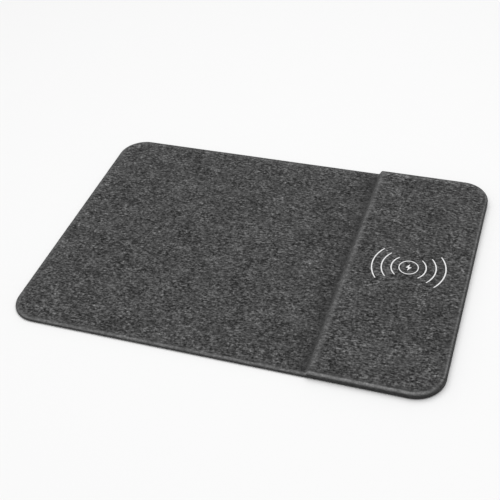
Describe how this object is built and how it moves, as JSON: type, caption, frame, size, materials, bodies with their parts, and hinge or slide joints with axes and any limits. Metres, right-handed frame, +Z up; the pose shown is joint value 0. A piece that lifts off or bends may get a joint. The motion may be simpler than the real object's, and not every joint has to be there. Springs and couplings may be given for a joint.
{
  "type": "wireless charging desk mat",
  "caption": "Low desk mat under one heather grey cloth cover: a thin mouse area and, past a short steep ramp, a raised wireless charging strip with a rear power inlet.",
  "frame": {"origin": "middle of the mat's footprint, on the surface that it lies on", "axes": "+X along the mat towards the charging strip, +Y towards the back edge with the power inlet, +Z up"},
  "size_m": [0.3, 0.215, 0.0064],
  "materials": {
    "heather_cloth": "matte",
    "grey_board": "matte",
    "black_foam": "matte",
    "grey_foam": "matte",
    "adhesive_paper": "satin",
    "base_rubber": "matte",
    "housing_plastic": "matte",
    "screw_steel": "satin",
    "ferrite": "satin",
    "polyimide_tape": "gloss",
    "copper_wire": "satin",
    "bead_epoxy": "gloss",
    "circuit_laminate": "satin",
    "chip_epoxy": "matte",
    "capacitor_ceramic": "satin",
    "resistor_ceramic": "satin",
    "shell_steel": "satin",
    "insulator_plastic": "matte",
    "contact_gold": "gloss",
    "bezel_plastic": "matte",
    "led_package": "satin",
    "clear_plastic": "gloss",
    "white_print": "matte"
  },
  "bodies": {
    "root": {"top_fabric": "heather_cloth", "core_board": "grey_board", "ramp_filler": "black_foam", "base_adhesive_sheet": "adhesive_paper", "base_sheet": "base_rubber", "charger_tray": "housing_plastic", "charger_lid": "housing_plastic", "housing_screws": "screw_steel", "coil_foam_pad": "grey_foam", "ferrite_shield": "ferrite", "coil_adhesive_ring": "adhesive_paper", "transmit_coil": "copper_wire", "coil_tape": "polyimide_tape", "coil_leads": "copper_wire", "coil_thermistor": "bead_epoxy", "main_board": "circuit_laminate", "board_screws": "screw_steel", "controller_chip": "chip_epoxy", "bridge_transistors": "chip_epoxy", "resonance_capacitors": "capacitor_ceramic", "filter_capacitors": "capacitor_ceramic", "small_resistors": "resistor_ceramic", "sense_resistor": "resistor_ceramic", "usb_shell": "shell_steel", "usb_insulator": "insulator_plastic", "usb_contacts": "contact_gold", "port_bezel": "bezel_plastic", "status_led": "led_package", "light_pipe": "clear_plastic", "printed_mark": "white_print"}
  },
  "joints": []
}
